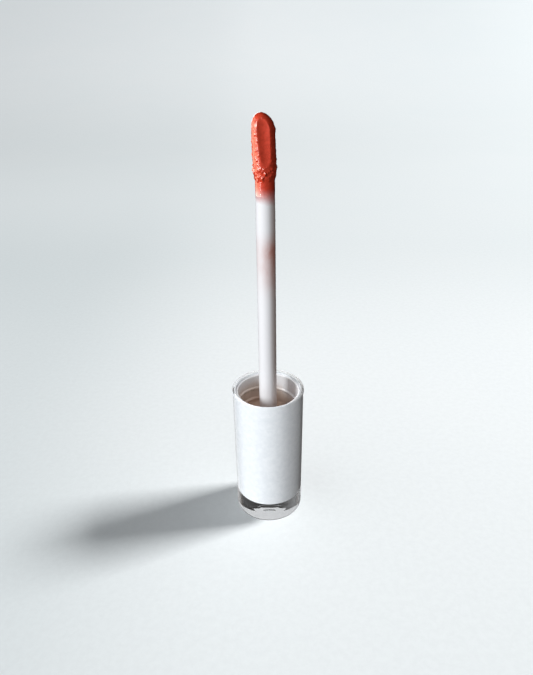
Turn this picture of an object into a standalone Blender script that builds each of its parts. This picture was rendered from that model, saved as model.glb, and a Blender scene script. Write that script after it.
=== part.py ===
"""A lip gloss applicator cap, standing on its closed end with its wand pointing up.

A clear overshell holds a white sleeve, the sleeve holds a threaded insert, and the insert holds the
wand, whose soft core carries the flocked doe-foot tip. Lengths are in metres, +Z is up, the origin is
the centre of the closed end, and the flat face of the tip looks towards -Y.
"""

import math

import bmesh
import bpy
from mathutils import Matrix

MM = 0.001
GAP = 0.05 * MM  # between pieces that touch

# Cap: radii are given at the lip, and the mould's draft takes DRAFT off them by the base.
CAP_HEIGHT = 36.8 * MM
CAP_RADIUS = 8.885 * MM
DRAFT = 0.16 * MM
LIP_RADIUS = 9.0 * MM
LIP_ROUNDING = 0.2 * MM
LIP_BEAD_HEIGHT = 0.45 * MM
LIP_BLEND_HEIGHT = 0.85 * MM
LIP_INNER_CHAMFER = 0.1 * MM
SHELL_BORE = 8.35 * MM
BASE_THICKNESS = 5.65 * MM
BASE_ROUNDING = 0.7 * MM
FLOOR_CORNER = 0.2 * MM
DIMPLE_RADIUS = 2.0 * MM
DIMPLE_FLOOR_RADIUS = 1.35 * MM
DIMPLE_DEPTH = 0.45 * MM

# White sleeve
SLEEVE_WALL = 0.25 * MM
SLEEVE_FLOOR = 0.5 * MM
SLEEVE_DROP = 0.5 * MM  # its edge lies this far under the lip

# Threaded insert
INSERT_DROP = 0.6 * MM
INSERT_RADIUS = SHELL_BORE - SLEEVE_WALL - 2 * GAP
INSERT_FOOT_CHAMFER = 0.4 * MM
THREAD_ROOT = 7.5 * MM
THREAD_CREST = 6.95 * MM
THREAD_PITCH = 3.2 * MM
THREAD_TURNS = 1.75
THREAD_TOP_DEPTH = 1.7 * MM  # below the insert's rim, at the start of the ridge
THREAD_ROOT_WIDTH = 1.3 * MM
THREAD_CREST_WIDTH = 0.5 * MM
THREAD_RUN_OUT = 0.12  # turns over which each end of the ridge fades
RIDGE_EMBED = 0.2 * MM
NECK_BORE = 6.8 * MM
NECK_BORE_TOP = 26.8 * MM
NECK_CONE_TOP = 28.0 * MM
NECK_SEAT = 21.0 * MM
SEAT_THICKNESS = 2.0 * MM
SKIRT_WALL = 0.7 * MM
BOSS_RADIUS = 3.6 * MM
BOSS_FOOT = 8.0 * MM
WEB_COUNT = 6
WEB_THICKNESS = 0.7 * MM
WEB_FOOT = 10.0 * MM

# Wand
STEM_RADIUS = 2.18 * MM  # at the neck seat
STEM_WAIST_RADIUS = 2.12 * MM  # where the end starts to narrow
STEM_WAIST = 80.0 * MM
STEM_END_RADIUS = 2.04 * MM
STEM_END = 88.4 * MM
STEM_FOOT = 8.6 * MM
COLLAR_RADIUS = 3.2 * MM
COLLAR_HEIGHT = 1.0 * MM
SNAP_HEIGHT = 13.0 * MM
SNAP_PROUD = 0.25 * MM
SNAP_HALF_LENGTH = 0.5 * MM

# Soft core of the tip: a peg in the wand's socket, a neck that bends, and a paddle under the flock.
FLEX_AXIS = 89.0 * MM
PEG_RADIUS = 1.15 * MM
PEG_FOOT = 80.0 * MM
PEG_SNAP_HEIGHT = 83.0 * MM
PEG_SNAP_PROUD = 0.15 * MM
CORE_NECK_RADIUS = 1.3 * MM
PADDLE_FOOT = 90.0 * MM
FLOCK_PILE = 0.5 * MM

# Flocked doe-foot tip, measured on the flock
TIP_TOP = 101.55 * MM
DOME_START = 98.3 * MM
DOME_RADIUS = 2.25 * MM
BELLY_HEIGHT = 94.4 * MM
BELLY_RADIUS = 2.32 * MM
TIP_LOW_HEIGHT = 90.0 * MM
TIP_LOW_RADIUS = 2.26 * MM
TIP_FOOT = 89.3 * MM
TIP_FOOT_RADIUS = 2.1 * MM
FLAT_FOOT = 91.4 * MM
FLAT_DISTANCE = 2.13 * MM  # from the axis, at the foot of the flat
FLAT_SLANT = math.radians(2.5)

# Gloss
FILM_GAP = 0.03 * MM
TIP_FILM = 0.12 * MM
STEM_FILM = 0.07 * MM
STEM_FILM_FOOT = 85.2 * MM

CAP_SEGMENTS = 48
WAND_SEGMENTS = 24
MERGE_DISTANCE = 1e-6


def draft_at(height):
    """What the mould's draft has taken off a radius of the cap at this height."""
    return DRAFT * (CAP_HEIGHT - height) / CAP_HEIGHT


def collar_foot():
    """The stem's collar is sunk in the insert, flush with the neck seat."""
    return NECK_SEAT - COLLAR_HEIGHT


def arc(centre_radius, centre_height, radius, start_deg, end_deg, steps=4):
    """Points of a profile along a circle, from start_deg to end_deg, both ends included."""
    angles = [math.radians(start_deg + (end_deg - start_deg) * i / steps) for i in range(steps + 1)]
    return [(centre_radius + radius * math.cos(a), centre_height + radius * math.sin(a)) for a in angles]


def snap_bead(radius, height, proud, half_length):
    """Points of a low ring round a shaft, from its upper edge to its lower one."""
    return [
        (radius, height + half_length),
        (radius + proud, height + half_length / 3),
        (radius + proud, height - half_length / 3),
        (radius, height - half_length),
    ]


# Objects


def new_collection(name):
    collection = bpy.data.collections.new(name)
    bpy.context.scene.collection.children.link(collection)
    return collection


def new_material(name, colour, roughness, transmission=0.0):
    """A Principled finish; every piece here is a plastic, a rubber or a liquid, so none is metallic."""
    material = bpy.data.materials.new(name)
    material.use_nodes = True
    shader = material.node_tree.nodes["Principled BSDF"]
    shader.inputs["Base Color"].default_value = (*colour, 1.0)
    shader.inputs["Metallic"].default_value = 0.0
    shader.inputs["Roughness"].default_value = roughness
    shader.inputs["Transmission Weight"].default_value = transmission
    return material


def new_object(name, mesh, collection, material=None):
    obj = bpy.data.objects.new(name, mesh)
    collection.objects.link(obj)
    if material:
        mesh.materials.append(material)
    else:
        obj.hide_render = True
        obj.display_type = "WIRE"
    return obj


def turned(name, profile, segments, collection, material=None, ring=False):
    """A solid of revolution about Z. A ring's profile is closed; any other ends on the axis."""
    edges = [(i, i + 1) for i in range(len(profile) - 1)]
    if ring:
        edges.append((len(profile) - 1, 0))
    mesh = bpy.data.meshes.new(name)
    mesh.from_pydata([(radius, 0, height) for radius, height in profile], edges, [])
    obj = new_object(name, mesh, collection, material)
    screw = obj.modifiers.new("turn", "SCREW")
    screw.steps = segments
    screw.render_steps = segments
    screw.use_merge_vertices = True
    screw.merge_threshold = MERGE_DISTANCE
    screw.use_smooth_shade = True
    return obj


def combine(obj, operation, other):
    boolean = obj.modifiers.new(other.name, "BOOLEAN")
    boolean.operation = operation
    boolean.object = other


# Cap


def overshell_profile():
    floor_radius = SHELL_BORE - draft_at(BASE_THICKNESS)
    base_radius = CAP_RADIUS - draft_at(0)
    return [
        (0, BASE_THICKNESS),
        *arc(floor_radius - FLOOR_CORNER, BASE_THICKNESS + FLOOR_CORNER, FLOOR_CORNER, -90, 0),
        (SHELL_BORE, CAP_HEIGHT - LIP_INNER_CHAMFER),
        (SHELL_BORE + LIP_INNER_CHAMFER, CAP_HEIGHT),
        *arc(LIP_RADIUS - LIP_ROUNDING, CAP_HEIGHT - LIP_ROUNDING, LIP_ROUNDING, 90, 0),
        (LIP_RADIUS, CAP_HEIGHT - LIP_BEAD_HEIGHT),
        (CAP_RADIUS - draft_at(CAP_HEIGHT - LIP_BLEND_HEIGHT), CAP_HEIGHT - LIP_BLEND_HEIGHT),
        *arc(base_radius - BASE_ROUNDING, BASE_ROUNDING, BASE_ROUNDING, 0, -90, steps=6),
        (DIMPLE_RADIUS, 0),
        (DIMPLE_FLOOR_RADIUS, DIMPLE_DEPTH),
        (0, DIMPLE_DEPTH),
    ]


def sleeve_profile():
    foot = BASE_THICKNESS + GAP
    floor = foot + SLEEVE_FLOOR
    rim = CAP_HEIGHT - SLEEVE_DROP
    outer = SHELL_BORE - GAP
    inner = outer - SLEEVE_WALL
    foot_radius = outer - draft_at(foot)
    return [
        (0, floor),
        (inner - draft_at(floor), floor),
        (inner - draft_at(rim), rim),
        (outer - draft_at(rim), rim),
        *arc(foot_radius - FLOOR_CORNER, foot + FLOOR_CORNER, FLOOR_CORNER, 0, -90),
        (0, foot),
    ]


def insert_profile():
    rim = CAP_HEIGHT - INSERT_DROP
    foot = BASE_THICKNESS + SLEEVE_FLOOR + 3 * GAP
    rim_rounding = (INSERT_RADIUS - THREAD_ROOT) / 2
    rim_centre = (INSERT_RADIUS - rim_rounding, rim - rim_rounding)
    foot_radius = INSERT_RADIUS - draft_at(foot)
    ceiling = NECK_SEAT - SEAT_THICKNESS
    skirt_inner = foot_radius - SKIRT_WALL
    bore = STEM_RADIUS + GAP
    groove = snap_bead(bore, SNAP_HEIGHT, SNAP_PROUD, SNAP_HALF_LENGTH + GAP)
    return [
        *arc(*rim_centre, rim_rounding, 90, 0),
        (foot_radius, foot + INSERT_FOOT_CHAMFER),
        (foot_radius - INSERT_FOOT_CHAMFER, foot),
        (skirt_inner, foot),
        (skirt_inner, ceiling),
        (BOSS_RADIUS, ceiling),
        (BOSS_RADIUS, BOSS_FOOT),
        (bore, BOSS_FOOT),
        *reversed(groove),
        (bore, collar_foot() - GAP),
        (COLLAR_RADIUS + GAP, collar_foot() - GAP),
        (COLLAR_RADIUS + GAP, NECK_SEAT),
        (NECK_BORE, NECK_SEAT),
        (NECK_BORE, NECK_BORE_TOP),
        (THREAD_ROOT, NECK_CONE_TOP),
        *arc(*rim_centre, rim_rounding, 180, 90)[:-1],
    ]


def add_thread_ridge(collection):
    """The right-hand inner thread: a trapezium swept along a helix, its ends fading into the wall."""
    ridge = bmesh.new()
    steps = round(CAP_SEGMENTS * THREAD_TURNS)
    start = CAP_HEIGHT - INSERT_DROP - THREAD_TOP_DEPTH
    sections = []
    for step in range(steps + 1):
        turns = step / CAP_SEGMENTS
        fade = min(1.0, turns / THREAD_RUN_OUT, (THREAD_TURNS - turns) / THREAD_RUN_OUT)
        crest = THREAD_ROOT - (THREAD_ROOT - THREAD_CREST) * fade + RIDGE_EMBED / 2 * (1 - fade)
        middle = start - THREAD_PITCH * turns
        angle = -math.tau * turns
        section = [
            (THREAD_ROOT + RIDGE_EMBED, middle - THREAD_ROOT_WIDTH / 2),
            (crest, middle - THREAD_CREST_WIDTH / 2),
            (crest, middle + THREAD_CREST_WIDTH / 2),
            (THREAD_ROOT + RIDGE_EMBED, middle + THREAD_ROOT_WIDTH / 2),
        ]
        sections.append([ridge.verts.new((r * math.cos(angle), r * math.sin(angle), z)) for r, z in section])
    for first, second in zip(sections, sections[1:]):
        for i in range(4):
            ridge.faces.new((first[i], first[i - 1], second[i - 1], second[i]))
    ridge.faces.new(sections[0])
    ridge.faces.new(reversed(sections[-1]))
    bmesh.ops.recalc_face_normals(ridge, faces=ridge.faces)
    mesh = bpy.data.meshes.new("thread_ridge")
    ridge.to_mesh(mesh)
    ridge.free()
    return new_object("thread_ridge", mesh, collection)


def add_webs(collection):
    """Stiffening webs between the boss and the skirt, under the neck seat."""
    inner = BOSS_RADIUS - RIDGE_EMBED
    outer = INSERT_RADIUS - DRAFT - SKIRT_WALL + RIDGE_EMBED
    top = NECK_SEAT - SEAT_THICKNESS + RIDGE_EMBED
    size = Matrix.Diagonal((outer - inner, WEB_THICKNESS, top - WEB_FOOT, 1))
    place = Matrix.Translation(((outer + inner) / 2, 0, (top + WEB_FOOT) / 2))
    webs = bmesh.new()
    for i in range(WEB_COUNT):
        turn = Matrix.Rotation(math.tau * (i + 0.5) / WEB_COUNT, 4, "Z")
        bmesh.ops.create_cube(webs, size=1, matrix=turn @ place @ size)
    mesh = bpy.data.meshes.new("webs")
    webs.to_mesh(mesh)
    webs.free()
    return new_object("webs", mesh, collection)


# Wand and tip


def stem_profile():
    socket = PEG_RADIUS + GAP
    socket_groove = snap_bead(socket, PEG_SNAP_HEIGHT, PEG_SNAP_PROUD, SNAP_HALF_LENGTH + GAP)
    rounding = STEM_END_RADIUS - CORE_NECK_RADIUS - GAP
    edge = COLLAR_HEIGHT / 4
    return [
        (0, PEG_FOOT - GAP),
        (socket, PEG_FOOT - GAP),
        *reversed(socket_groove),
        (socket, STEM_END - rounding),
        (CORE_NECK_RADIUS + GAP, STEM_END - rounding / 2),
        (CORE_NECK_RADIUS + GAP, STEM_END),
        *arc(STEM_END_RADIUS - rounding / 3, STEM_END - rounding / 3, rounding / 3, 90, 0),
        (STEM_WAIST_RADIUS, STEM_WAIST),
        (STEM_RADIUS, NECK_SEAT),
        *arc(COLLAR_RADIUS - edge, NECK_SEAT - edge, edge, 90, 0, steps=3),
        (COLLAR_RADIUS, collar_foot()),
        (STEM_RADIUS, collar_foot()),
        *snap_bead(STEM_RADIUS, SNAP_HEIGHT, SNAP_PROUD - GAP, SNAP_HALF_LENGTH),
        (STEM_RADIUS, STEM_FOOT + edge),
        (STEM_RADIUS - edge, STEM_FOOT),
        (0, STEM_FOOT),
    ]


def bullet(grow, steps=8):
    """The tip's elliptical dome and belly, from the top down, moved out of the flock by grow."""
    radius = DOME_RADIUS + grow
    rise = TIP_TOP + grow - DOME_START
    angles = [math.radians(90 * i / steps) for i in range(1, steps + 1)]
    dome = [(radius * math.sin(a), DOME_START + rise * math.cos(a)) for a in angles]
    return [(0, TIP_TOP + grow), *dome, (BELLY_RADIUS + grow, BELLY_HEIGHT)]


def foot_profile(grow, foot):
    """The whole doe-foot, closed off flat at the height foot."""
    return [
        *bullet(grow),
        (TIP_LOW_RADIUS + grow, TIP_LOW_HEIGHT),
        (TIP_FOOT_RADIUS + grow, TIP_FOOT),
        (TIP_FOOT_RADIUS + grow, foot),
        (0, foot),
    ]


def core_profile(grow):
    """The core moved out of its own surface by grow."""
    paddle = grow - FLOCK_PILE
    neck_top = PADDLE_FOOT - (TIP_LOW_RADIUS - FLOCK_PILE - CORE_NECK_RADIUS)
    peg = snap_bead(PEG_RADIUS + grow, PEG_SNAP_HEIGHT, PEG_SNAP_PROUD - GAP, SNAP_HALF_LENGTH)
    return [
        *bullet(paddle),
        (TIP_LOW_RADIUS + paddle, PADDLE_FOOT),
        (CORE_NECK_RADIUS + grow, neck_top),
        (CORE_NECK_RADIUS + grow, STEM_END - GAP),
        (PEG_RADIUS + grow, STEM_END - FLOCK_PILE),
        *peg,
        (PEG_RADIUS + grow, PEG_FOOT - grow),
        (0, PEG_FOOT - grow),
    ]


def cut_flat(obj, offset, collection):
    """Cuts the doe-foot's flat, moved out of the flock's own flat by offset."""
    reach = TIP_TOP - FLAT_FOOT + 2 * MM
    size = Matrix.Diagonal((reach, reach, reach, 1))
    beside = Matrix.Translation((0, -reach / 2, reach / 2))
    lean = Matrix.Rotation(-FLAT_SLANT, 4, "X")
    place = Matrix.Translation((0, -FLAT_DISTANCE - offset, FLAT_FOOT - offset))
    box = bmesh.new()
    bmesh.ops.create_cube(box, size=1, matrix=place @ lean @ beside @ size)
    mesh = bpy.data.meshes.new(f"{obj.name}_flat")
    box.to_mesh(mesh)
    box.free()
    combine(obj, "DIFFERENCE", new_object(f"{obj.name}_flat", mesh, collection))


def stem_film_profile():
    """A ring of gloss round the end of the stem, thin at its lower edge."""
    slope = (STEM_WAIST_RADIUS - STEM_END_RADIUS) / (STEM_END - STEM_WAIST)
    top = STEM_END - 2 * GAP
    foot_radius = STEM_WAIST_RADIUS - slope * (STEM_FILM_FOOT - STEM_WAIST) + FILM_GAP
    top_radius = STEM_WAIST_RADIUS - slope * (top - STEM_WAIST) + FILM_GAP
    return [
        (top_radius + STEM_FILM, top),
        (foot_radius + STEM_FILM, STEM_FILM_FOOT + MM),
        (foot_radius + STEM_FILM / 2, STEM_FILM_FOOT),
        (foot_radius, STEM_FILM_FOOT),
        (top_radius, top),
    ]


# The object


def build_cap(parts, cutters):
    clear = new_material("clear_plastic", (0.93, 0.94, 0.94), 0.05, transmission=1.0)
    white = new_material("white_plastic", (0.86, 0.88, 0.91), 0.35)
    insert_white = new_material("insert_plastic", (0.80, 0.76, 0.74), 0.3)
    turned("clear_overshell", overshell_profile(), CAP_SEGMENTS, parts, clear)
    turned("white_sleeve", sleeve_profile(), CAP_SEGMENTS, parts, white)
    insert = turned("threaded_insert", insert_profile(), CAP_SEGMENTS, parts, insert_white, ring=True)
    combine(insert, "UNION", add_thread_ridge(cutters))
    combine(insert, "UNION", add_webs(cutters))


def build_wand(parts, cutters):
    stem_white = new_material("stem_plastic", (0.88, 0.87, 0.89), 0.3)
    rubber = new_material("core_rubber", (0.85, 0.80, 0.78), 0.5)
    flock = new_material("flock", (0.62, 0.10, 0.06), 0.85)
    gloss = new_material("gloss", (0.60, 0.07, 0.04), 0.08)

    turned("wand_stem", stem_profile(), WAND_SEGMENTS, parts, stem_white)
    turned("gloss_on_stem", stem_film_profile(), WAND_SEGMENTS, parts, gloss, ring=True)

    core = turned("tip_core", core_profile(0), WAND_SEGMENTS, parts, rubber)
    cut_flat(core, -FLOCK_PILE, cutters)

    hollow = turned("flock_hollow", core_profile(GAP), WAND_SEGMENTS, cutters)
    cut_flat(hollow, GAP - FLOCK_PILE, cutters)
    tip = turned("flocked_tip", foot_profile(0, TIP_FOOT - GAP), WAND_SEGMENTS, parts, flock)
    cut_flat(tip, 0, cutters)
    combine(tip, "DIFFERENCE", hollow)

    inside = turned("film_hollow", foot_profile(FILM_GAP, TIP_FOOT - MM), WAND_SEGMENTS, cutters)
    cut_flat(inside, FILM_GAP, cutters)
    film_outside = foot_profile(FILM_GAP + TIP_FILM, TIP_FOOT - GAP)
    film = turned("gloss_on_tip", film_outside, WAND_SEGMENTS, parts, gloss)
    cut_flat(film, FILM_GAP + TIP_FILM, cutters)
    combine(film, "DIFFERENCE", inside)

    flex = bpy.data.objects.new("tip_flex_axis", None)
    parts.objects.link(flex)
    flex.location = (0, 0, FLEX_AXIS)
    for piece in (tip, film):
        piece.parent = flex
        piece.location = -flex.location


def main():
    for obj in list(bpy.data.objects):
        bpy.data.objects.remove(obj)
    parts = new_collection("lip_gloss_applicator_cap")
    cutters = new_collection("cutters")
    build_cap(parts, cutters)
    build_wand(parts, cutters)


main()
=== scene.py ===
"""Looks for a lip gloss applicator cap: a clear two-layer cap, its threaded insert, and a wand with a
flocked doe-foot tip under wet gloss. Lengths are in metres in the CAD's frame: the cap stands on z = 0,
the wand points up +Z and the tip's flat face looks towards -Y.
"""

import math

import bpy
import numpy as np
from mathutils import Matrix, Vector


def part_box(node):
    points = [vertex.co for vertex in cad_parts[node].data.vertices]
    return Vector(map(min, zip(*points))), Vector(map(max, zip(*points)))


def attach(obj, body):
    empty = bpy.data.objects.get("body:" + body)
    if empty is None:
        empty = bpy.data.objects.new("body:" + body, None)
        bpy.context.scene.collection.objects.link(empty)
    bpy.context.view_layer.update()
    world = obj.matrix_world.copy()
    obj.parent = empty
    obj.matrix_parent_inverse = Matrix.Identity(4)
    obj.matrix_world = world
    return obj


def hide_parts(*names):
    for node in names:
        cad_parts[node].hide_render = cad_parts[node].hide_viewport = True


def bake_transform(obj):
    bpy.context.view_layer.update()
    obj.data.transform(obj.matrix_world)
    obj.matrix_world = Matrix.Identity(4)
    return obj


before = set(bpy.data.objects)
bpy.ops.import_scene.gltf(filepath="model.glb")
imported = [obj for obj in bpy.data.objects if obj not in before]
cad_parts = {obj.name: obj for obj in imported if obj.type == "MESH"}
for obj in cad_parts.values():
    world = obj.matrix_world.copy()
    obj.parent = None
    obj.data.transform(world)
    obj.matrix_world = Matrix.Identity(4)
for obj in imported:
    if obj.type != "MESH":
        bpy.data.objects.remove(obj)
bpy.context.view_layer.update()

MM = 0.001
CAP = "applicator_cap"
TIP = "flex_tip"

# Cap, as in the CAD, apart from FOOT_CORNER, BOND and SLEEVE_RIM
CAP_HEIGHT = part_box("clear_overshell")[1].z
LIP_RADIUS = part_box("clear_overshell")[1].x
CAP_RADIUS = LIP_RADIUS - 0.115 * MM
DRAFT = 0.16 * MM
LIP_ROUNDING = 0.2 * MM
SHELL_BORE = 8.35 * MM
BASE_THICKNESS = 5.65 * MM
BASE_ROUNDING = 0.7 * MM
GAP = 0.05 * MM
SLEEVE_WALL = 0.25 * MM
FOOT_CORNER = 0.45 * MM  # rounding where the sleeve meets the thick base
BOND = 0.02 * MM  # how far the sleeve reaches into the clear cup that it is bonded to
SLEEVE_RIM = CAP_HEIGHT - 0.2 * MM
INSERT_RADIUS = SHELL_BORE - SLEEVE_WALL - 2 * GAP
INSERT_RIM = CAP_HEIGHT - 0.6 * MM
THREAD_ROOT = 7.5 * MM
THREAD_CREST = 6.95 * MM
THREAD_PITCH = 3.2 * MM
THREAD_TURNS = 1.75
THREAD_START = INSERT_RIM - 1.7 * MM
NECK_SEAT = 21.0 * MM

# Wand and tip, as in the CAD, apart from FLAT_DISH
STEM_RADIUS = 2.18 * MM
STEM_WAIST_RADIUS = 2.12 * MM
STEM_WAIST = 80.0 * MM
STEM_END_RADIUS = 2.04 * MM
STEM_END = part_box("wand_stem")[1].z
COLLAR_RADIUS = 3.2 * MM
CORE_NECK_RADIUS = 1.3 * MM
FLOCK_PILE = 0.5 * MM
TIP_FILM = 0.15 * MM  # how far the gloss stands out of the flock
TIP_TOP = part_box("gloss_on_tip")[1].z - TIP_FILM
DOME_START = 98.3 * MM
DOME_RADIUS = 2.25 * MM
TIP_FOOT = 89.3 * MM
FLAT_FOOT = 91.4 * MM
FLAT_DISTANCE = 2.13 * MM
FLAT_SLANT = math.radians(2.5)
FLAT_DISH = 0.2 * MM  # how hollow the flat face is
FILM_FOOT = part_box("gloss_on_stem")[0].z
PEG_RADIUS = 1.15 * MM
PEG_GROOVE = 83.0 * MM  # height of the snap ring round the tip's peg
STEM_SNAP = 13.0 * MM  # height of the snap ring round the wand's foot

# Points round each piece
CAP_SEGMENTS = 192
SHELL_SEGMENTS = 384
WAND_SEGMENTS = 128
CORE_SEGMENTS = 96
FLOCK_SEGMENTS = 160
GLOSS_SEGMENTS = 288


# ---------------------------------------------------------------- mesh tools


def arc(centre_radius, centre_height, radius, start_deg, end_deg, steps=8):
    angles = np.radians(np.linspace(start_deg, end_deg, steps + 1))
    return [(centre_radius + radius * math.cos(a), centre_height + radius * math.sin(a)) for a in angles]


def fine(profile, step):
    """The profile with points added, so that none of its segments is longer than step."""
    points = [profile[0]]
    for (r0, z0), (r1, z1) in zip(profile, profile[1:]):
        parts = max(1, math.ceil(math.hypot(r1 - r0, z1 - z0) / step))
        points += [(r0 + (r1 - r0) * i / parts, z0 + (z1 - z0) * i / parts) for i in range(1, parts + 1)]
    return points


def ring(radius, height, segments, centre=(0.0, 0.0)):
    """Points round the axis. radius and height are numbers, or one value for each point."""
    angles = ring_angles(segments)
    x = centre[0] + radius * np.cos(angles)
    y = centre[1] + radius * np.sin(angles)
    return np.column_stack((x, y, np.broadcast_to(height, x.shape)))


def ring_angles(segments):
    return np.arange(segments) * math.tau / segments


def skin(name, rings, material, smooth_deg=40, closed=False):
    """A mesh over rings of points in order. A single point closes an end; closed joins last to first."""
    points = [np.atleast_2d(r) for r in rings]
    spans = []  # first index and number of points of each ring
    total = 0
    for p in points:
        spans.append((total, len(p)))
        total += len(p)
    faces = []
    pairs = list(zip(spans, spans[1:]))
    if closed:
        pairs.append((spans[-1], spans[0]))
    for (a, count_a), (b, count_b) in pairs:
        count = max(count_a, count_b)
        for i in range(count):
            j = (i + 1) % count
            if count_a == 1:
                faces.append((a, b + i, b + j))
            elif count_b == 1:
                faces.append((a + i, b, a + j))
            else:
                faces.append((a + i, b + i, b + j, a + j))
    mesh = bpy.data.meshes.new(name)
    mesh.from_pydata(np.vstack(points).tolist(), [], faces)
    obj = bpy.data.objects.new(name, mesh)
    bpy.context.scene.collection.objects.link(obj)
    mesh.materials.append(material)
    shade(mesh, smooth_deg)
    return obj


def shade(mesh, smooth_deg):
    mesh.polygons.foreach_set("use_smooth", [True] * len(mesh.polygons))
    mesh.set_sharp_from_angle(angle=math.radians(smooth_deg))
    mesh.update()


def turned(name, profile, segments, material):
    rings = [np.array((0, 0, z)) if r == 0 else ring(r, z, segments) for r, z in profile]
    return skin(name, rings, material)


def smoothstep(low, high, value):
    t = np.clip((value - low) / (high - low), 0, 1)
    return t * t * (3 - 2 * t)


def bumps(angles, heights, radius, rng, count, low, high, size, rise):
    """Round bumps at random places on a cylinder's wall, as a height over angles x heights."""
    field = np.zeros((len(heights), len(angles)))
    for _ in range(count):
        angle = rng.uniform(0, math.tau)
        height = rng.uniform(low, high)
        sigma = rng.uniform(*size)
        amount = rng.uniform(*rise)
        turn = (angles - angle + math.pi) % math.tau - math.pi
        across = np.exp(-((turn * radius) ** 2) / (2 * sigma**2))
        along = np.exp(-((heights - height) ** 2) / (2 * sigma**2))
        field += amount * np.outer(along, across)
    return field


# ---------------------------------------------------------------- material tools


class Look:
    """A Principled material, built node by node. It reads the piece's own coordinates in the CAD's frame."""

    def __init__(self, name, attribute=None, **constants):
        self.material = bpy.data.materials.new(name)
        self.material.use_nodes = True
        self.tree = self.material.node_tree
        self.shader = self.tree.nodes["Principled BSDF"]
        if attribute:
            self.place = self.node("ShaderNodeAttribute", attribute_name=attribute).outputs["Vector"]
        else:
            self.place = self.node("ShaderNodeTexCoord").outputs["Object"]
        parts = self.node("ShaderNodeSeparateXYZ", Vector=self.place)
        self.x = parts.outputs["X"]
        self.y = parts.outputs["Y"]
        self.z = parts.outputs["Z"]
        for socket, value in constants.items():
            self.shader.inputs[socket.replace("_", " ")].default_value = value

    def node(self, kind, attribute_name=None, operation=None, data_type=None, interpolation=None, **inputs):
        node = self.tree.nodes.new(kind)
        if attribute_name:
            node.attribute_name = attribute_name
        if data_type:
            node.data_type = data_type
        if operation:
            node.operation = operation
        if interpolation:
            node.interpolation_type = interpolation
        for key, value in inputs.items():
            self.plug(value, node.inputs[key.replace("_", " ")])
        return node

    def plug(self, value, socket):
        if isinstance(value, bpy.types.NodeSocket):
            self.tree.links.new(value, socket)
        else:
            socket.default_value = value

    def math(self, operation, a, b=0.0):
        node = self.node("ShaderNodeMath", operation=operation)
        self.plug(a, node.inputs[0])
        self.plug(b, node.inputs[1])
        return node.outputs[0]

    def ramp(self, value, low, high, to_low=0.0, to_high=1.0):
        """to_low where value is under low, to_high over high, and a smooth change between."""
        flip = low > high
        if flip:
            low, high, to_low, to_high = high, low, to_high, to_low
        node = self.node("ShaderNodeMapRange", interpolation="SMOOTHSTEP")
        names = ("Value", "From Min", "From Max", "To Min", "To Max")
        for name, what in zip(names, (value, low, high, to_low, to_high)):
            self.plug(what, node.inputs[name])
        return node.outputs["Result"]

    def noise(self, size, detail=3.0, roughness=0.5, stretch=(1, 1, 1)):
        """Noise from 0 to 1 whose features are about size metres across."""
        place = self.place
        if stretch != (1, 1, 1):
            scaled = self.node("ShaderNodeVectorMath", operation="MULTIPLY")
            self.plug(place, scaled.inputs[0])
            self.plug(tuple(1 / s for s in stretch), scaled.inputs[1])
            place = scaled.outputs[0]
        shape = {"Scale": 1 / size, "Detail": detail, "Roughness": roughness}
        node = self.node("ShaderNodeTexNoise", Vector=place, **shape)
        return node.outputs["Fac"]

    def mix(self, factor, a, b):
        node = self.node("ShaderNodeMix", data_type="RGBA")
        self.plug(factor, node.inputs["Factor"])
        self.plug(a if isinstance(a, bpy.types.NodeSocket) else (*a, 1.0), node.inputs["A"])
        self.plug(b if isinstance(b, bpy.types.NodeSocket) else (*b, 1.0), node.inputs["B"])
        return node.outputs["Result"]

    def colour(self, socket):
        self.plug(socket, self.shader.inputs["Base Color"])

    def roughness(self, socket):
        self.plug(socket, self.shader.inputs["Roughness"])

    def bump(self, height, distance, strength=1.0):
        node = self.node("ShaderNodeBump", Height=height, Distance=distance, Strength=strength)
        self.plug(node.outputs["Normal"], self.shader.inputs["Normal"])


CORAL = (0.53, 0.041, 0.015)  # the gloss
STEM_WHITE = (0.92, 0.905, 0.915)


def clear_look():
    look = Look("clear_plastic_look", Transmission_Weight=1.0, IOR=1.49)
    look.colour(look.mix(look.noise(6 * MM), (0.985, 0.99, 0.99), (0.965, 0.978, 0.978)))
    scuffs = look.ramp(look.noise(1.5 * MM), 0.4, 0.8, 0.01, 0.05)
    lip = look.ramp(look.z, CAP_HEIGHT - 0.8 * MM, CAP_HEIGHT - 0.3 * MM, 0.0, 0.2)
    look.roughness(look.math("ADD", scuffs, lip))
    return look.material


def sleeve_look():
    look = Look("white_plastic_look", IOR=1.5, Specular_IOR_Level=0.15)
    mottle = look.noise(1.1 * MM, detail=5, roughness=0.65)
    look.colour(look.mix(look.ramp(mottle, 0.35, 0.65), (0.80, 0.825, 0.85), (0.86, 0.88, 0.90)))
    look.roughness(look.ramp(mottle, 0.3, 0.7, 0.38, 0.5))
    look.bump(look.noise(0.35 * MM, detail=4), 0.02 * MM, 0.5)
    return look.material


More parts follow.
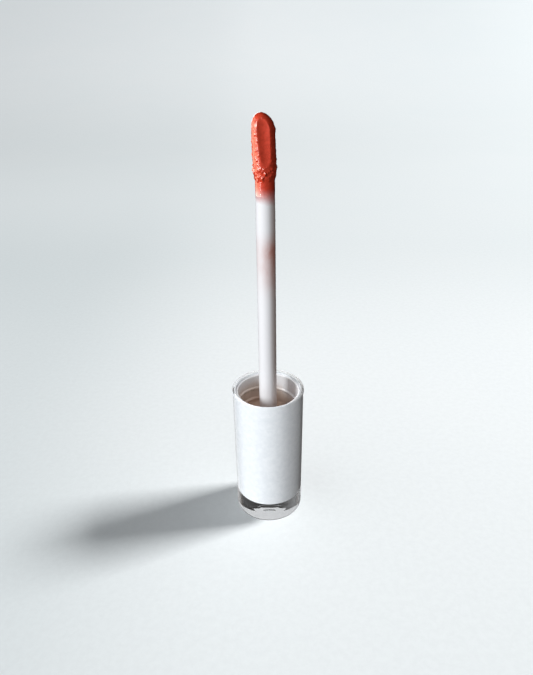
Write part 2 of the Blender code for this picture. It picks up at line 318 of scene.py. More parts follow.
def insert_look():
    """White at the rim, tinted by streaky gloss residue further down, and with painted shade: darker deeper
    in the socket, and kept whiter as painted light on the +X side, where the key light falls.
    """
    look = Look("insert_plastic_look", IOR=1.5)
    streaks = look.noise(2.5 * MM, detail=4, roughness=0.6, stretch=(1, 1, 2.2))
    # painted light: the tint is pulled back on the +X side, where the key light falls
    lit_side = look.math("MULTIPLY", look.math("MAXIMUM", look.x, 0.0), 0.6)
    residue_and_shade = look.math("SUBTRACT", look.math("MULTIPLY", streaks, 2.5 * MM), lit_side)
    level = look.math("SUBTRACT", look.z, residue_and_shade)
    clean = look.mix(streaks, (0.90, 0.89, 0.90), (0.93, 0.925, 0.93))
    # gloss residue and painted shade: the socket gets darker and browner the deeper it goes
    tinted = look.mix(look.ramp(level, 34.6 * MM, 31.0 * MM), clean, (0.72, 0.61, 0.53))
    deep = look.mix(look.ramp(level, 31.5 * MM, 26.0 * MM), tinted, (0.66, 0.49, 0.39))
    look.colour(deep)
    look.roughness(look.ramp(streaks, 0.3, 0.7, 0.16, 0.34))
    look.bump(look.noise(0.6 * MM, detail=3), 0.02 * MM, 0.4)
    return look.material


def coral_amount(look):
    """How much of the end of the stem the gloss covers: all of it at the tip, fading away below."""
    wobble = look.noise(1.3 * MM, detail=3)
    side = look.math("MULTIPLY", look.x, 0.22)
    edge = look.math("ADD", look.math("ADD", look.z, side), look.math("MULTIPLY", wobble, 0.9 * MM))
    return look.math("POWER", look.ramp(edge, 83.9 * MM, 87.8 * MM), 0.5)


def stem_look():
    """White, with painted shade along its right side, darker and warmer there, a smear half way up, and a
    foot that is stained and darkened with painted shade where it goes down into the cap.
    """
    look = Look("stem_plastic_look", IOR=1.5)
    fine_noise = look.noise(0.7 * MM, detail=4)
    white = look.mix(fine_noise, tuple(0.97 * c for c in STEM_WHITE), STEM_WHITE)
    cloud = look.noise(1.8 * MM, detail=4, roughness=0.6, stretch=(1, 1, 2))
    rise = look.ramp(look.z, 60.0 * MM, 73.0 * MM)
    fall = look.ramp(look.z, 78.5 * MM, 73.0 * MM)
    side = look.ramp(look.x, -1.5 * MM, 1.6 * MM, 0.25, 1.0)
    # painted shade: the right side of the stem darker and warmer
    right_shaded = look.mix(look.ramp(look.x, 0.5 * MM, 1.9 * MM, 0.0, 0.6), white, (0.60, 0.46, 0.40))
    smear = look.math("MULTIPLY", look.math("MULTIPLY", rise, fall), side)
    smear = look.math("MULTIPLY", smear, look.ramp(cloud, 0.2, 0.75, 0.45, 1.0))
    smeared = look.mix(smear, right_shaded, (0.60, 0.24, 0.18))
    # gloss stain and painted shade: darker where the stem goes down into the cap
    neck = look.ramp(look.z, 35.0 * MM, 29.0 * MM, 0.0, 0.8)
    stained_and_shaded = look.mix(neck, smeared, (0.50, 0.34, 0.27))
    look.colour(look.mix(coral_amount(look), stained_and_shaded, CORAL))
    look.roughness(look.ramp(fine_noise, 0.3, 0.7, 0.30, 0.42))
    look.bump(look.noise(0.5 * MM, detail=3), 0.01 * MM, 0.4)
    return look.material


def core_look():
    look = Look("core_rubber_look", attribute="rest_place")
    look.colour(look.mix(look.noise(0.8 * MM), (0.80, 0.74, 0.70), (0.87, 0.82, 0.79)))
    look.roughness(look.ramp(look.noise(0.4 * MM), 0.3, 0.7, 0.45, 0.6))
    look.bump(look.noise(0.3 * MM), 0.02 * MM, 0.5)
    return look.material


def flock_look():
    look = Look("flock_look", Sheen_Weight=0.4, Sheen_Roughness=0.5)
    fibres = look.noise(0.12 * MM, detail=4, roughness=0.7)
    look.colour(look.mix(fibres, (0.42, 0.035, 0.015), (0.70, 0.10, 0.05)))
    look.roughness(look.ramp(fibres, 0.3, 0.7, 0.75, 0.95))
    look.bump(fibres, 0.06 * MM)
    return look.material


def gloss_look():
    look = Look("gloss_look", attribute="rest_place", IOR=1.46, Coat_Weight=0.6, Coat_Roughness=0.07)
    clots = look.noise(0.5 * MM, detail=4, roughness=0.6)
    dark = tuple(0.86 * c for c in CORAL)
    pale = tuple(1.1 * c for c in CORAL)
    coral = look.mix(look.ramp(clots, 0.3, 0.7), dark, pale)
    look.colour(look.mix(coral_amount(look), STEM_WHITE, coral))
    look.roughness(look.ramp(clots, 0.3, 0.75, 0.30, 0.42))
    look.bump(look.noise(0.22 * MM, detail=2), 0.015 * MM, 0.5)
    return look.material


# ---------------------------------------------------------------- cap


def draft_at(height):
    return DRAFT * (CAP_HEIGHT - height) / CAP_HEIGHT


def build_shell(material):
    """The clear cup: rolled lip, thick base with a rounded edge and a small gate dimple under it."""
    chamfer = 0.1 * MM
    bead_foot = CAP_HEIGHT - 0.85 * MM
    floor_radius = SHELL_BORE - draft_at(BASE_THICKNESS)
    base_radius = CAP_RADIUS - draft_at(0)
    dimple = 2.0 * MM
    dimple_floor = 1.35 * MM
    dimple_depth = 0.45 * MM
    soft = 0.08 * MM
    profile = [
        (0, BASE_THICKNESS),
        *arc(floor_radius - FOOT_CORNER, BASE_THICKNESS + FOOT_CORNER, FOOT_CORNER, -90, 0, steps=10),
        (SHELL_BORE, CAP_HEIGHT - 2 * chamfer),
        *arc(SHELL_BORE + chamfer, CAP_HEIGHT - chamfer, chamfer, 180, 90),
        *arc(LIP_RADIUS - LIP_ROUNDING, CAP_HEIGHT - LIP_ROUNDING, LIP_ROUNDING, 90, 0),
        (LIP_RADIUS, CAP_HEIGHT - 0.45 * MM),
        (CAP_RADIUS - draft_at(bead_foot) + 0.02 * MM, bead_foot + 0.08 * MM),
        (CAP_RADIUS - draft_at(bead_foot), bead_foot),
        *arc(base_radius - BASE_ROUNDING, BASE_ROUNDING, BASE_ROUNDING, 0, -90, steps=12),
        (dimple + soft, 0),
        (dimple - soft / 2, soft / 2),
        (dimple_floor + soft, dimple_depth - soft / 2),
        (dimple_floor - soft, dimple_depth),
        (0, dimple_depth),
    ]
    shell = turned("cap_shell", fine(profile, 1.5 * MM), SHELL_SEGMENTS, material)
    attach(shell, CAP)
    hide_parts("clear_overshell")
    return shell


def build_sleeve(material):
    """The white cup, with a rolled upper edge, that shows through the clear wall.

    It is bonded to the clear cup: an air gap between the two would mirror it away.
    """
    foot = BASE_THICKNESS - BOND
    floor = BASE_THICKNESS + GAP + 0.5 * MM
    outer = SHELL_BORE + BOND
    inner = SHELL_BORE - GAP - SLEEVE_WALL
    foot_radius = outer - draft_at(foot)
    edge = (outer - inner) / 2
    profile = [
        (0, floor),
        (inner - draft_at(floor), floor),
        *arc(outer - edge, SLEEVE_RIM - edge, edge, 180, 0, steps=10),
        *arc(foot_radius - FOOT_CORNER, foot + FOOT_CORNER, FOOT_CORNER, 0, -90, steps=10),
        (0, foot),
    ]
    sleeve = turned("cap_sleeve", fine(profile, 1.5 * MM), SHELL_SEGMENTS, material)
    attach(sleeve, CAP)
    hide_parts("white_sleeve")
    return sleeve


def thread_rise(angles, height):
    """How far the right-hand inner thread stands out of the bore at each angle, at one height."""
    run_out = 0.12  # part of a turn over which each end fades away
    worn = 0.45  # the ridge is lower and softer than in the CAD, as under a film of gloss
    rise = np.zeros_like(angles)
    for turn in range(math.ceil(THREAD_TURNS)):
        turns = (-angles / math.tau) % 1.0 + turn
        fade = smoothstep(0, run_out, turns) * smoothstep(THREAD_TURNS, THREAD_TURNS - run_out, turns)
        away = np.abs(height - (THREAD_START - THREAD_PITCH * turns))
        shape = worn * (1 - smoothstep(0.1 * MM, 0.6 * MM, away))
        rise = np.maximum(rise, (THREAD_ROOT - THREAD_CREST) * fade * shape)
    return rise


def web_boxes(inner, outer, foot, top, thickness, count):
    """Stiffening webs between the boss and the skirt, one mesh of slabs with cut lower corners."""
    across = 0.9 * MM
    up = 0.6 * MM
    points = []
    faces = []
    for i in range(count):
        turn = Matrix.Rotation(math.tau * (i + 0.5) / count, 4, "Z")
        outline = [(inner, top), (inner, foot + up), (inner + across, foot)]
        outline += [(outer - across, foot), (outer, foot + up), (outer, top)]
        start = len(points)
        for side in (-0.5, 0.5):
            points += [turn @ Vector((r, side * thickness, z)) for r, z in outline]
        n = len(outline)
        faces.append(tuple(start + k for k in range(n)))
        faces.append(tuple(start + n + k for k in reversed(range(n))))
        faces += [(start + (k + 1) % n, start + k, start + n + k, start + n + (k + 1) % n) for k in range(n)]
    mesh = bpy.data.meshes.new("webs")
    mesh.from_pydata([tuple(p) for p in points], [], faces)
    webs = bpy.data.objects.new("webs", mesh)
    bpy.context.scene.collection.objects.link(webs)
    return webs


def unite(obj, other):
    """obj joined with other as one solid; other is used up."""
    boolean = obj.modifiers.new("unite", "BOOLEAN")
    boolean.operation = "UNION"
    boolean.solver = "EXACT"
    boolean.object = other
    depsgraph = bpy.context.evaluated_depsgraph_get()
    joined = bpy.data.meshes.new_from_object(obj.evaluated_get(depsgraph))
    obj.modifiers.clear()
    obj.data = joined
    bpy.data.objects.remove(other)
    shade(joined, 40)


def build_insert(material):
    """The threaded socket, its seat, the boss that holds the wand, and the webs round the boss."""
    foot = BASE_THICKNESS + 0.5 * MM + 3 * GAP
    rounding = (INSERT_RADIUS - THREAD_ROOT) / 2
    rim_centre = (INSERT_RADIUS - rounding, INSERT_RIM - rounding)
    foot_radius = INSERT_RADIUS - draft_at(foot)
    chamfer = 0.4 * MM
    ceiling = NECK_SEAT - 2.0 * MM
    skirt = foot_radius - 0.7 * MM
    boss = 3.6 * MM
    boss_foot = 8.0 * MM
    bore = STEM_RADIUS + GAP
    groove = bore + 0.25 * MM
    sunk = NECK_SEAT - 1.0 * MM - GAP
    collar_bore = COLLAR_RADIUS + GAP
    neck_bore = 6.8 * MM
    neck_corner = 0.4 * MM
    neck_top = 26.8 * MM
    thread_foot = 28.0 * MM
    outside = [
        *arc(*rim_centre, rounding, 90, 0),
        (foot_radius, foot + chamfer),
        (foot_radius - chamfer, foot),
        (skirt, foot),
        (skirt, ceiling),
        (boss, ceiling),
        (boss, boss_foot),
        (bore, boss_foot),
        (bore, STEM_SNAP - 0.55 * MM),
        (groove, STEM_SNAP - 0.2 * MM),
        (groove, STEM_SNAP + 0.2 * MM),
        (bore, STEM_SNAP + 0.55 * MM),
        (bore, sunk),
        (collar_bore, sunk),
        (collar_bore, NECK_SEAT - 0.1 * MM),
        (collar_bore + 0.1 * MM, NECK_SEAT),
        (neck_bore - neck_corner, NECK_SEAT),
        *arc(neck_bore - neck_corner, NECK_SEAT + neck_corner, neck_corner, -90, 0),
        (neck_bore, neck_top),
        (THREAD_ROOT, thread_foot),
    ]
    threaded = fine([(THREAD_ROOT, thread_foot), (THREAD_ROOT, INSERT_RIM - rounding)], 0.09 * MM)
    rings = [ring(r, z, CAP_SEGMENTS) for r, z in outside]
    angles = ring_angles(CAP_SEGMENTS)
    rings += [ring(r - thread_rise(angles, z), z, CAP_SEGMENTS) for r, z in threaded[1:]]
    rings += [ring(r, z, CAP_SEGMENTS) for r, z in arc(*rim_centre, rounding, 180, 90)[1:-1]]
    insert = skin("neck_insert", rings, material, closed=True)
    sink = 0.2 * MM  # how far the webs reach into what they join
    webs = web_boxes(boss - sink, skirt + sink, 10 * MM, ceiling + sink, thickness=0.7 * MM, count=6)
    unite(insert, webs)
    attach(insert, CAP)
    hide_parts("threaded_insert")
    return insert


# ---------------------------------------------------------------- wand


def stem_radius_at(heights):
    keys = (NECK_SEAT, STEM_WAIST, STEM_END)
    return np.interp(heights, keys, (STEM_RADIUS, STEM_WAIST_RADIUS, STEM_END_RADIUS))


def build_wand(material):
    """The rod: socket for the tip's peg, rounded end, sunk stop collar and snap ring."""
    socket = PEG_RADIUS + GAP
    groove = socket + 0.15 * MM
    neck = CORE_NECK_RADIUS + GAP
    socket_foot = 80.0 * MM - GAP
    edge = 0.25 * MM
    collar_foot = NECK_SEAT - 1.0 * MM
    snap_ring = STEM_RADIUS + 0.2 * MM
    foot = 8.6 * MM
    profile = [
        (0, socket_foot),
        (socket, socket_foot),
        (socket, PEG_GROOVE - 0.55 * MM),
        (groove, PEG_GROOVE - 0.2 * MM),
        (groove, PEG_GROOVE + 0.2 * MM),
        (socket, PEG_GROOVE + 0.55 * MM),
        (socket, STEM_END - 0.69 * MM),
        (neck, STEM_END - 0.35 * MM),
        (neck, STEM_END - 0.06 * MM),
        (neck + 0.06 * MM, STEM_END),
        *arc(STEM_END_RADIUS - edge, STEM_END - edge, edge, 90, 0),
        (STEM_WAIST_RADIUS, STEM_WAIST),
        (STEM_RADIUS, NECK_SEAT),
        *arc(COLLAR_RADIUS - edge, NECK_SEAT - edge, edge, 90, 0),
        (COLLAR_RADIUS, collar_foot),
        (STEM_RADIUS, collar_foot),
        (STEM_RADIUS, STEM_SNAP + 0.5 * MM),
        (snap_ring, STEM_SNAP + 0.17 * MM),
        (snap_ring, STEM_SNAP - 0.17 * MM),
        (STEM_RADIUS, STEM_SNAP - 0.5 * MM),
        (STEM_RADIUS, foot + edge),
        *arc(STEM_RADIUS - edge, foot + edge, edge, 0, -90)[1:],
        (0, foot),
    ]
    wand = turned("wand", fine(profile, 1.0 * MM), WAND_SEGMENTS, material)
    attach(wand, CAP)
    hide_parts("wand_stem")
    return wand


# ---------------------------------------------------------------- doe-foot tip

LEAN = 0.03  # how far the tip leans to -X for each unit of height
LEAN_START = 90.0 * MM
APEX_SHIFT = 0.36 * MM
# How far the gloss has run down the flat at some heights, and how far its face has turned there
POOL_HEIGHTS = np.array((92.5, 94.4, 98.3)) * MM
POOL_DEPTHS = np.array((0.12, 0.08, 0.04)) * MM
POOL_TURNS = np.radians((7.3, 5.2, 1.0))


def tip_rows(grow, step, foot):
    """Radius and height of each row of the tip, from under the top of the dome down to foot."""
    rise = TIP_TOP + grow - DOME_START
    radius = DOME_RADIUS + grow
    count = math.ceil(1.2 * (rise + radius) / step)
    angles = np.linspace(0, math.pi / 2, count + 1)[1:]
    dome_r = radius * np.sin(angles)
    dome_z = DOME_START + rise * np.cos(angles)
    below_z = np.arange(DOME_START - step, foot - step / 2, -step)
    keys_z = np.array((86.0, 88.4, 88.9, 89.4, 90.2, 91.5, 94.4, 98.3, 103.0)) * MM
    keys_r = np.array((2.0, 2.0, 2.04, 2.12, 2.24, 2.29, 2.32, 2.25, 2.17)) * MM
    offsets = np.linspace(-0.35, 0.35, 9) * MM
    below_r = np.mean([np.interp(below_z + d, keys_z, keys_r) for d in offsets], axis=0) + grow
    return np.append(dome_r, below_r), np.append(dome_z, below_z)


def flat_distance(heights, grow):
    """Distance of the flat from the axis; under its foot it runs out of the tip."""
    plain = FLAT_DISTANCE + grow - (heights - FLAT_FOOT) * math.tan(FLAT_SLANT)
    return plain + 0.6 * MM * smoothstep(FLAT_FOOT + 0.25 * MM, FLAT_FOOT - 0.75 * MM, heights)


def tip_surface(grow, step, foot, segments, dish=0.0, soft=(0.02 * MM, 0.02 * MM), pooled=0.0):
    """Radius over rows x angles, the rows' heights, and how much each point lies on the round flank.

    dish hollows the flat, soft rounds its left and right edges, and pooled is how far the gloss has run
    down and across it.
    """
    radius, heights = tip_rows(grow, step, foot)
    run = pooled * np.interp(heights, POOL_HEIGHTS, POOL_DEPTHS)
    turn = pooled * np.interp(heights, POOL_HEIGHTS, POOL_TURNS)
    off = ring_angles(segments)[None, :] - turn[:, None]
    off = (off + math.pi / 2 + math.pi) % math.tau - math.pi  # from -Y, positive towards +X
    facing = np.cos(off)
    distance = (flat_distance(heights, grow) + run)[:, None]
    across = np.tan(np.clip(off, -1.3, 1.3)) * distance / (1.25 * MM)
    hollow = dish * np.clip(1 - across**2, 0, 1)
    hollow = hollow * smoothstep(FLAT_FOOT, FLAT_FOOT + 1.5 * MM, heights)[:, None]
    far = 1.0  # on the tip's back, where the flat doesn't cut it
    flat = np.where(facing > 0.1, (distance - hollow) / np.maximum(facing, 0.05), far)
    softness = np.where(off < 0, soft[0], soft[1])
    round_ = np.broadcast_to(radius[:, None], flat.shape)
    low = np.minimum(round_, flat)
    blended = low - softness * np.log(np.exp(-(round_ - low) / softness) + np.exp(-(flat - low) / softness))
    flank = smoothstep(-0.05 * MM, 0.15 * MM, flat - round_)
    return blended, heights, flank


def tip_centre(height, grow):
    """The tip leans a little, and its dome is drawn out to one side."""
    top = TIP_TOP + grow
    lean = -LEAN * max(0.0, height - LEAN_START)
    shift = -APEX_SHIFT * max(0.0, (height - DOME_START) / (top - DOME_START)) ** 2
    return (lean + shift, 0.0)


def tip_rings(radius, heights, grow, segments):
    return [ring(r, z, segments, tip_centre(z, grow)) for r, z in zip(radius, heights)]


def tip_apex(grow):
    height = TIP_TOP + grow
    return np.array((*tip_centre(height, grow), height))


def rest_place(obj):
    """Keeps each vertex's place at rest as an attribute, so that the material bends with the piece."""
    attribute = obj.data.attributes.new("rest_place", "FLOAT_VECTOR", "POINT")
    place = np.empty(len(obj.data.vertices) * 3, np.float32)
    obj.data.vertices.foreach_get("co", place)
    attribute.data.foreach_set("vector", place)


def build_core(material):
    """The soft core: paddle under the flock, the neck that bends, and the peg in the wand's socket."""
    segments = CORE_SEGMENTS
    inside = -FLOCK_PILE
    radius, heights, _ = tip_surface(inside, 0.25 * MM, 90.0 * MM, segments, FLAT_DISH)
    peg = PEG_RADIUS
    snap_ring = peg + 0.1 * MM
    peg_foot = 80.0 * MM
    neck_top = 89.5 * MM
    lower = [
        (CORE_NECK_RADIUS, neck_top),
        (CORE_NECK_RADIUS, STEM_END - GAP),
        (peg, STEM_END - 0.5 * MM),
        (peg, PEG_GROOVE + 0.5 * MM),
        (snap_ring, PEG_GROOVE + 0.17 * MM),
        (snap_ring, PEG_GROOVE - 0.17 * MM),
        (peg, PEG_GROOVE - 0.5 * MM),
        (peg, peg_foot + 0.2 * MM),
        (peg - 0.2 * MM, peg_foot),
    ]
    rings = [tip_apex(inside), *tip_rings(radius, heights, inside, segments)]
    rings += [ring(r, z, segments) for r, z in fine(lower, 0.15 * MM)]
    rings.append(np.array((0, 0, peg_foot)))
    core = skin("soft_core", rings, material)
    rest_place(core)
    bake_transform(core)
    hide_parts("tip_core")
    return core


def build_flock(material):
    """The flock: a hollow doe-foot whose outside is roughened by clumps of fibres."""
    segments = FLOCK_SEGMENTS
    rng = np.random.default_rng(11)
    foot = TIP_FOOT
    outer_grow = -0.03 * MM
    inner_grow = GAP - FLOCK_PILE
    middle = 2.3 * MM
    radius, heights, flank = tip_surface(outer_grow, 0.12 * MM, foot, segments, FLAT_DISH)
    angles = ring_angles(segments)
    clumps = bumps(angles, heights, middle, rng, 500, foot, TIP_TOP, (0.1 * MM, 0.2 * MM), (-1, 1))
    radius = radius + np.clip(clumps, -1, 1) * 0.025 * MM * (0.3 + 0.7 * flank)
    hollow, hollow_heights, _ = tip_surface(inner_grow, 0.25 * MM, 90.0 * MM, segments, FLAT_DISH)
    rings = [tip_apex(outer_grow), *tip_rings(radius, heights, outer_grow, segments)]
    rings.append(ring(CORE_NECK_RADIUS + GAP, foot, segments))
    rings.append(ring(CORE_NECK_RADIUS + GAP, 89.5 * MM, segments))
    rings += reversed(tip_rings(hollow, hollow_heights, inner_grow, segments))
    rings.append(tip_apex(inner_grow))
    flock = skin("flock", rings, material)
    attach(flock, TIP)
    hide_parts("flocked_tip")
    return flock


def build_gloss(material):
    """One wet skin from the end of the stem over the whole tip, lumpy on the flanks, beaded at the foot.

    Bumps are in millimetres, and each draw from rng follows the one before it.
    """
    segments = GLOSS_SEGMENTS
    rng = np.random.default_rng(4)
    angles = ring_angles(segments)
    step = 0.06 * MM
    middle = 2.4 * MM
    inner_grow = 0.02 * MM
    radius, heights, flank = tip_surface(
        TIP_FILM,
        step,
        STEM_END,
        segments,
        dish=FLAT_DISH + 0.04 * MM,
        soft=(0.075 * MM, 0.025 * MM),
        pooled=1.0,
    )
    stem_heights = np.arange(STEM_END - step, FILM_FOOT, -step)
    both = np.append(heights, stem_heights)

    def relief(over, count, low, high, size, rise):
        size = (size[0] * MM, size[1] * MM)
        return bumps(angles, over, middle, rng, count, low * MM, high * MM, size, rise)

    grain = relief(heights, 800, 88.8, 101.6, size=(0.07, 0.15), rise=(-0.06, 0.11))
    lumps = relief(heights, 60, 89.6, 100.0, size=(0.25, 0.5), rise=(-0.05, 0.08))
    all_beads = relief(both, 90, 88.3, 91.3, size=(0.12, 0.25), rise=(0.05, 0.2))
    ripple = relief(heights, 60, 91, 101, size=(0.3, 0.7), rise=(-0.02, 0.02))
    all_beads *= smoothstep(88.0 * MM, 88.5 * MM, both)[:, None]
    beads = all_beads[: len(heights)]
    stem_beads = all_beads[len(heights) :]

    height_col = heights[:, None]
    on_tip = smoothstep(88.6 * MM, 89.6 * MM, height_col) * smoothstep(101.5 * MM, 99.5 * MM, height_col)
    radius = radius + MM * on_tip * (np.clip(grain, -0.06, 0.14) + np.clip(lumps, -0.04, 0.1)) * flank
    radius = radius + MM * ripple * (1 - flank)
    thin = 0.045 * MM * smoothstep(FILM_FOOT - 0.1 * MM, FILM_FOOT + 1.6 * MM, stem_heights) + 0.006 * MM
    film = (stem_radius_at(stem_heights) + thin)[:, None] + MM * stem_beads
    join = smoothstep(STEM_END + 0.5 * MM, STEM_END - 0.1 * MM, height_col)
    radius = radius * (1 - join) + (STEM_END_RADIUS + 0.051 * MM) * join + MM * beads

    rings = [tip_apex(TIP_FILM), *tip_rings(radius, heights, TIP_FILM, segments)]
    rings += [ring(r, z, segments) for r, z in zip(film, stem_heights)]
    inner_film = [(r + 0.003 * MM, z) for r, z in zip(stem_radius_at(stem_heights), stem_heights)]
    rings += [ring(r, z, segments) for r, z in reversed(inner_film[::4])]
    inner, inner_heights, _ = tip_surface(inner_grow, 0.25 * MM, STEM_END + 0.1 * MM, segments, FLAT_DISH)
    inner = np.maximum(inner, STEM_END_RADIUS * smoothstep(90 * MM, 89 * MM, inner_heights)[:, None])
    rings += reversed(tip_rings(inner, inner_heights, inner_grow, segments))
    rings.append(tip_apex(inner_grow))
    gloss = skin("gloss_skin", rings, material, smooth_deg=75)
    rest_place(gloss)
    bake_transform(gloss)
    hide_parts("gloss_on_tip", "gloss_on_stem")
    return gloss


# ---------------------------------------------------------------- stage, light and camera


def collection_of(name, objects):
    collection = bpy.data.collections.new(name)
    for obj in objects:
        collection.objects.link(obj)
    return collection


def floor_look():
    """Pale and cool, with painted shade: greyer to the left, at the far right, in a band behind the cap, and
    in front.
    """
    look = Look("floor_look", Specular_IOR_Level=0.2)
    grain = look.noise(1.6 * MM, detail=4, roughness=0.7)
    cloud = look.noise(60 * MM, detail=2)
    base = look.mix(cloud, (0.82, 0.858, 0.87), (0.845, 0.872, 0.878))
    # painted shade: uneven light over the floor, painted as greyer patches
    left = look.math("MULTIPLY", look.ramp(look.x, 0.0, -0.1), look.ramp(look.y, 0.35, 0.05, 0.08, 0.38))
    right = look.math("MULTIPLY", look.ramp(look.x, -0.1, 0.4), look.ramp(look.y, 0.4, 1.0, 0.0, 0.26))
    band = look.math("MULTIPLY", look.ramp(look.y, 0.05, 0.22), look.ramp(look.y, 1.0, 0.5, 0.0, 0.24))
    near = look.ramp(look.y, 0.05, -0.08, 0.03, 0.17)
    floor_shade_amount = look.math("ADD", look.math("ADD", left, right), look.math("ADD", band, near))
    shaded_floor = look.mix(floor_shade_amount, base, (0.42, 0.485, 0.50))
    look.colour(look.mix(look.ramp(grain, 0.3, 0.7, 0.0, 0.06), shaded_floor, (0.3, 0.31, 0.32)))
    look.roughness(look.ramp(grain, 0.2, 0.8, 0.8, 0.95))
    return look.material


def build_floor():
    """A wide pale floor that curves up far behind the object."""
    front = -3.0
    half_width = 3.0
    curve_start = 0.5
    curve_radius = 1.5
    below = 0.02 * MM
    line = [(front, 0.0)]
    for degrees in range(0, 81, 4):
        bend = math.radians(degrees)
        line.append((curve_start + curve_radius * math.sin(bend), curve_radius * (1 - math.cos(bend))))
    points = [(x, y, z - below) for y, z in line for x in (-half_width, half_width)]
    faces = [(2 * i, 2 * i + 1, 2 * i + 3, 2 * i + 2) for i in range(len(line) - 1)]
    mesh = bpy.data.meshes.new("floor")
    mesh.from_pydata(points, [], faces)
    floor = bpy.data.objects.new("floor", mesh)
    bpy.context.scene.collection.objects.link(floor)
    mesh.materials.append(floor_look())
    shade(mesh, 30)
    floor.visible_diffuse = False
    floor.visible_glossy = False
    return floor


def aim(obj, place, target):
    obj.location = place
    obj.rotation_euler = (Vector(target) - Vector(place)).to_track_quat("-Z", "Y").to_euler()


def direction(azimuth, elevation):
    """Unit vector towards a light. Azimuth 0 is -Y, the front, and positive is towards +X."""
    a = math.radians(azimuth)
    e = math.radians(elevation)
    return Vector((math.sin(a) * math.cos(e), -math.cos(a) * math.cos(e), math.sin(e)))


def add_light(name, power, colour, target, toward, distance, size, receivers, blockers):
    """An area light that shines on receivers only. Where blockers is given, only they cast its shadows."""
    light = bpy.data.lights.new(name, "AREA")
    light.energy = power
    light.color = colour
    light.shape = "RECTANGLE"
    light.size = size[0]
    light.size_y = size[1]
    obj = bpy.data.objects.new(name, light)
    bpy.context.scene.collection.objects.link(obj)
    aim(obj, Vector(target) + toward * distance, target)
    obj.visible_camera = False
    obj.light_linking.receiver_collection = receivers
    if blockers:
        obj.light_linking.blocker_collection = blockers
    return obj


def build_lights(floor, opaque, shell):
    piece = {obj.name: obj for obj in opaque}
    lit = collection_of("lit_pieces", opaque)
    stage = collection_of("lit_stage", [floor])
    clear = collection_of("lit_shell", [shell])
    cap_only = collection_of("floor_blockers", [piece["cap_sleeve"], piece["neck_insert"]])
    sleeve = collection_of("lit_sleeve", [piece["cap_sleeve"]])
    wand = collection_of("lit_wand", [piece["wand"]])
    gloss = collection_of("lit_gloss", [piece["gloss_skin"]])
    insert = collection_of("lit_insert", [piece["neck_insert"]])

    ground = (0, 0, 0)
    base = (0, 0, BASE_THICKNESS)
    mouth = (0, 0, 30 * MM)
    rim = (0, 0, CAP_HEIGHT)
    middle = (0, 0, 50 * MM)
    tip = (0, 0, 95 * MM)
    neutral = (1.0, 1.0, 1.0)
    cool = (0.96, 0.985, 1.0)
    sky = (0.96, 1.0, 1.0)
    cream = (1.0, 0.93, 0.86)
    peach = (1.0, 0.9, 0.8)
    warm = (1.0, 0.72, 0.52)
    patch = (0.2, 0.2)
    # name, power, colour, target, azimuth, elevation, distance, size, receivers, blockers
    rows = (
        ("key", 1.42, cool, middle, -56, 20, 0.5, (0.12, 0.14), lit, None),
        ("floor_key", 56.5, neutral, ground, 105, 36, 3.2, (0.83, 0.83), stage, cap_only),
        ("floor_fill", 5.2, sky, ground, -60, 70, 3.0, (1.0, 1.0), stage, cap_only),
        ("base_bounce", 0.026, neutral, base, -60, -70, 60 * MM, (30 * MM, 30 * MM), sleeve, cap_only),
        ("cap_front", 0.8, neutral, middle, -6, 25, 0.5, patch, sleeve, None),
        ("wand_front", 0.3, neutral, middle, -30, 20, 0.5, patch, wand, None),
        ("back_fill", 0.55, neutral, middle, -168, 10, 0.5, patch, lit, None),
        ("back_right_fill", 1.0, neutral, middle, 166, 8, 0.5, patch, sleeve, None),
        ("tip_side", 1.3, peach, tip, -82, 12, 0.5, patch, gloss, None),
        ("tip_front", 0.5, cream, tip, -40, 22, 0.5, (0.1, 0.1), gloss, None),
        ("gloss_sheen", 4.6, warm, tip, -98, 0, 0.5, (0.8, 0.5), gloss, None),
        ("gloss_strip", 1.0, neutral, tip, -55, 0, 0.5, (0.03, 0.5), gloss, None),
        ("lip_sheen", 9.0, neutral, rim, 180, 32, 0.6, (1.0, 0.8), clear, lit),
        ("edge_sheen", 0.45, neutral, middle, -165, -32, 0.5, (0.5, 0.5), clear, lit),
        ("mouth_fill", 0.42, neutral, mouth, 60, 80, 0.3, (0.12, 0.12), insert, lit),
    )
    lights = {}
    for name, power, colour, target, azimuth, elevation, *rest in rows:
        lights[name] = add_light(name, power, colour, target, direction(azimuth, elevation), *rest)
    lights["floor_key"].data.spread = math.radians(120)
    for name in ("gloss_sheen", "gloss_strip", "lip_sheen", "edge_sheen"):
        lights[name].visible_diffuse = False
        lights[name].visible_transmission = False


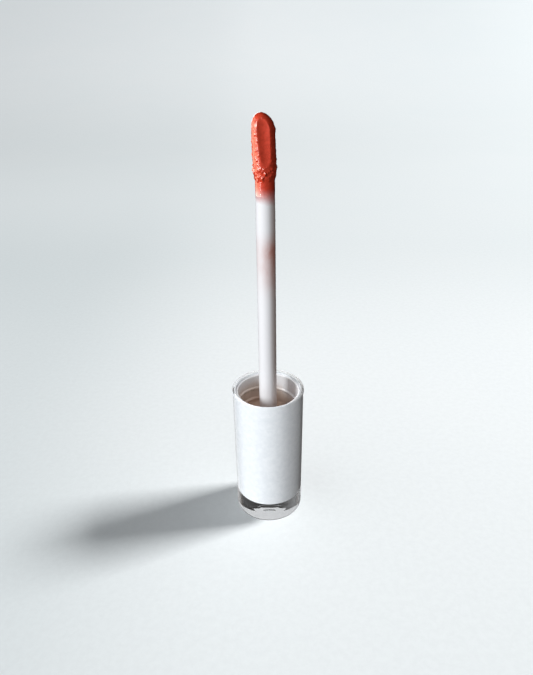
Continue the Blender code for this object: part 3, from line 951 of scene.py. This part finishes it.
def build_world():
    """Soft studio surroundings: bright and cool in front and to the left, dim and warm elsewhere.

    Past the floor's edges the backdrop itself is a plain pale gradient.
    """
    world = bpy.data.worlds.new("studio")
    bpy.context.scene.world = world
    world.use_nodes = True
    world.cycles_visibility.glossy = False
    tree = world.node_tree
    background = tree.nodes["Background"]
    place = tree.nodes.new("ShaderNodeTexCoord")

    along = tree.nodes.new("ShaderNodeVectorMath")
    along.operation = "DOT_PRODUCT"
    along.inputs[1].default_value = Vector((0.55, 0.80, -0.20)).normalized()
    shifted = tree.nodes.new("ShaderNodeMapRange")
    shifted.inputs["From Min"].default_value = -1.0
    shifted.inputs["From Max"].default_value = 1.0
    ramp = tree.nodes.new("ShaderNodeValToRGB")
    stops = (
        (0.0, (0.74, 0.78, 0.82)),
        (0.17, (0.50, 0.53, 0.56)),
        (0.35, (0.25, 0.24, 0.24)),
        (0.5, (0.115, 0.105, 0.098)),
        (0.65, (0.095, 0.085, 0.075)),
        (0.85, (0.085, 0.072, 0.06)),
        (1.0, (0.075, 0.062, 0.05)),
    )
    while len(ramp.color_ramp.elements) < len(stops):
        ramp.color_ramp.elements.new(0.5)
    for element, (position, colour) in zip(ramp.color_ramp.elements, stops):
        element.position = position
        element.color = (*colour, 1.0)

    split = tree.nodes.new("ShaderNodeSeparateXYZ")
    height = tree.nodes.new("ShaderNodeMapRange")
    height.interpolation_type = "SMOOTHSTEP"
    height.inputs["From Min"].default_value = -0.02
    height.inputs["From Max"].default_value = 0.35
    backdrop = tree.nodes.new("ShaderNodeMix")
    backdrop.data_type = "RGBA"
    backdrop.inputs["A"].default_value = (0.45, 0.465, 0.47, 1.0)
    backdrop.inputs["B"].default_value = (0.70, 0.73, 0.74, 1.0)
    rays = tree.nodes.new("ShaderNodeLightPath")
    seen = tree.nodes.new("ShaderNodeMix")
    seen.data_type = "RGBA"

    links = (
        (place.outputs["Generated"], along.inputs[0]),
        (along.outputs["Value"], shifted.inputs["Value"]),
        (shifted.outputs["Result"], ramp.inputs["Fac"]),
        (place.outputs["Generated"], split.inputs[0]),
        (split.outputs["Z"], height.inputs["Value"]),
        (height.outputs["Result"], backdrop.inputs["Factor"]),
        (rays.outputs["Is Camera Ray"], seen.inputs["Factor"]),
        (ramp.outputs["Color"], seen.inputs["A"]),
        (backdrop.outputs["Result"], seen.inputs["B"]),
        (seen.outputs["Result"], background.inputs["Color"]),
    )
    for source, target in links:
        tree.links.new(source, target)


def build_flag():
    """A dark panel behind the set, seen only through the clear plastic."""
    look = Look("flag_look", Specular_IOR_Level=0.1)
    dark = look.mix(look.noise(0.2), (0.05, 0.046, 0.042), (0.09, 0.084, 0.078))
    look.colour(look.mix(look.ramp(look.x, 0.2, -1.0), dark, (0.42, 0.41, 0.40)))
    corners = [(-1.6, 0.75, 0.12), (1.6, 0.75, 0.12), (1.6, 0.95, 1.9), (-1.6, 0.95, 1.9)]
    mesh = bpy.data.meshes.new("flag")
    mesh.from_pydata(corners, [], [(0, 1, 2, 3)])
    mesh.materials.append(look.material)
    flag = bpy.data.objects.new("flag", mesh)
    bpy.context.scene.collection.objects.link(flag)
    flag.visible_camera = False
    flag.visible_diffuse = False
    flag.visible_glossy = False
    flag.visible_shadow = False


def build_camera():
    """A camera about 160 mm from the cap, looking 28 degrees down and rolled by less than one degree."""
    down = 28.14
    turn = -0.85
    camera = bpy.data.cameras.new("camera")
    camera.lens = 30.89
    camera.sensor_width = 36.0
    camera.clip_start = 0.005
    camera.clip_end = 20.0
    obj = bpy.data.objects.new("camera", camera)
    bpy.context.scene.collection.objects.link(obj)
    place = Matrix.Translation((-0.18 * MM, -122.1 * MM, 116.4 * MM))
    pitch = Matrix.Rotation(math.radians(90 - down), 4, "X")
    roll = Matrix.Rotation(math.radians(turn), 4, "Z")
    obj.matrix_world = place @ pitch @ roll
    bpy.context.scene.camera = obj


def main():
    shell = build_shell(clear_look())
    opaque = [
        build_sleeve(sleeve_look()),
        build_insert(insert_look()),
        build_wand(stem_look()),
        build_core(core_look()),
        build_flock(flock_look()),
        build_gloss(gloss_look()),
    ]
    shell.visible_shadow = False
    shell.visible_diffuse = False
    floor = build_floor()
    build_lights(floor, opaque, shell)
    build_flag()
    build_world()
    build_camera()
    bpy.context.scene.view_settings.view_transform = "Standard"


main()
